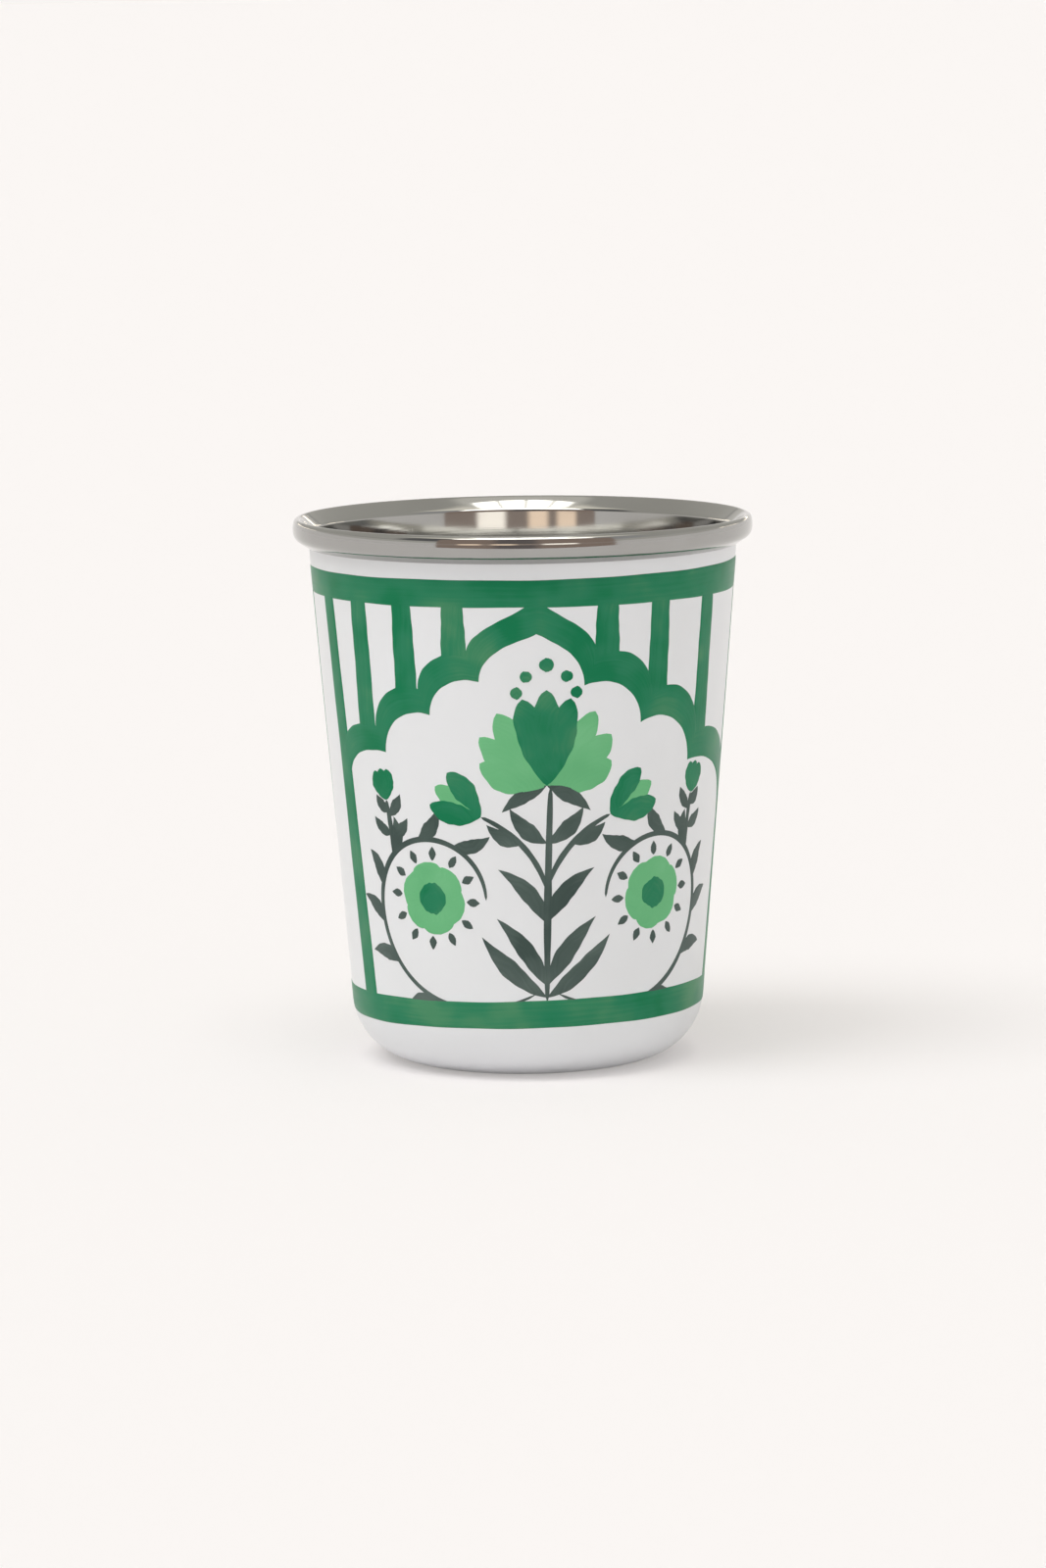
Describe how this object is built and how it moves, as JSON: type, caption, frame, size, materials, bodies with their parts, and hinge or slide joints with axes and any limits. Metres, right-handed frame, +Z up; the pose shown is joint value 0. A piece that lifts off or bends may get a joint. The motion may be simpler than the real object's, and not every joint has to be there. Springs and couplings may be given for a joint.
{
  "type": "stainless steel tumbler",
  "caption": "Tapered steel drinking tumbler with a rolled rim and rounded heel, white outside with painted green bands, stripes and cusped arches.",
  "frame": {"origin": "on the cup's axis, at the plane that its standing ring rests on", "axes": "+Z up along the cup's axis from the base to the mouth; -Y through the middle of the front arch, +X to the right of it"},
  "size_m": [0.0802, 0.0802, 0.095],
  "materials": {
    "steel": "polished stainless steel with a fine turned grain, inside, on the rolled rim and under the base",
    "white_enamel": "glossy white enamel paint, brushed on",
    "green_paint": "glossy green enamel paint with brush streaks",
    "dark_green_paint": "glossy grey green enamel paint, for leaves and stems",
    "light_green_paint": "glossy light green enamel paint, for petals"
  },
  "bodies": {
    "root": {"steel_shell": "steel", "white_ground_coat": "white_enamel", "upper_green_band": "green_paint", "lower_green_band": "green_paint", "front_arch": "green_paint", "front_left_column": "green_paint", "front_right_column": "green_paint", "front_left_stripe_1": "green_paint", "front_left_stripe_2": "green_paint", "front_left_stripe_3": "green_paint", "front_right_stripe_1": "green_paint", "front_right_stripe_2": "green_paint", "front_right_stripe_3": "green_paint", "back_arch": "green_paint", "back_left_column": "green_paint", "back_right_column": "green_paint", "back_left_stripe_1": "green_paint", "back_left_stripe_2": "green_paint", "back_left_stripe_3": "green_paint", "back_right_stripe_1": "green_paint", "back_right_stripe_2": "green_paint", "back_right_stripe_3": "green_paint"}
  },
  "joints": []
}
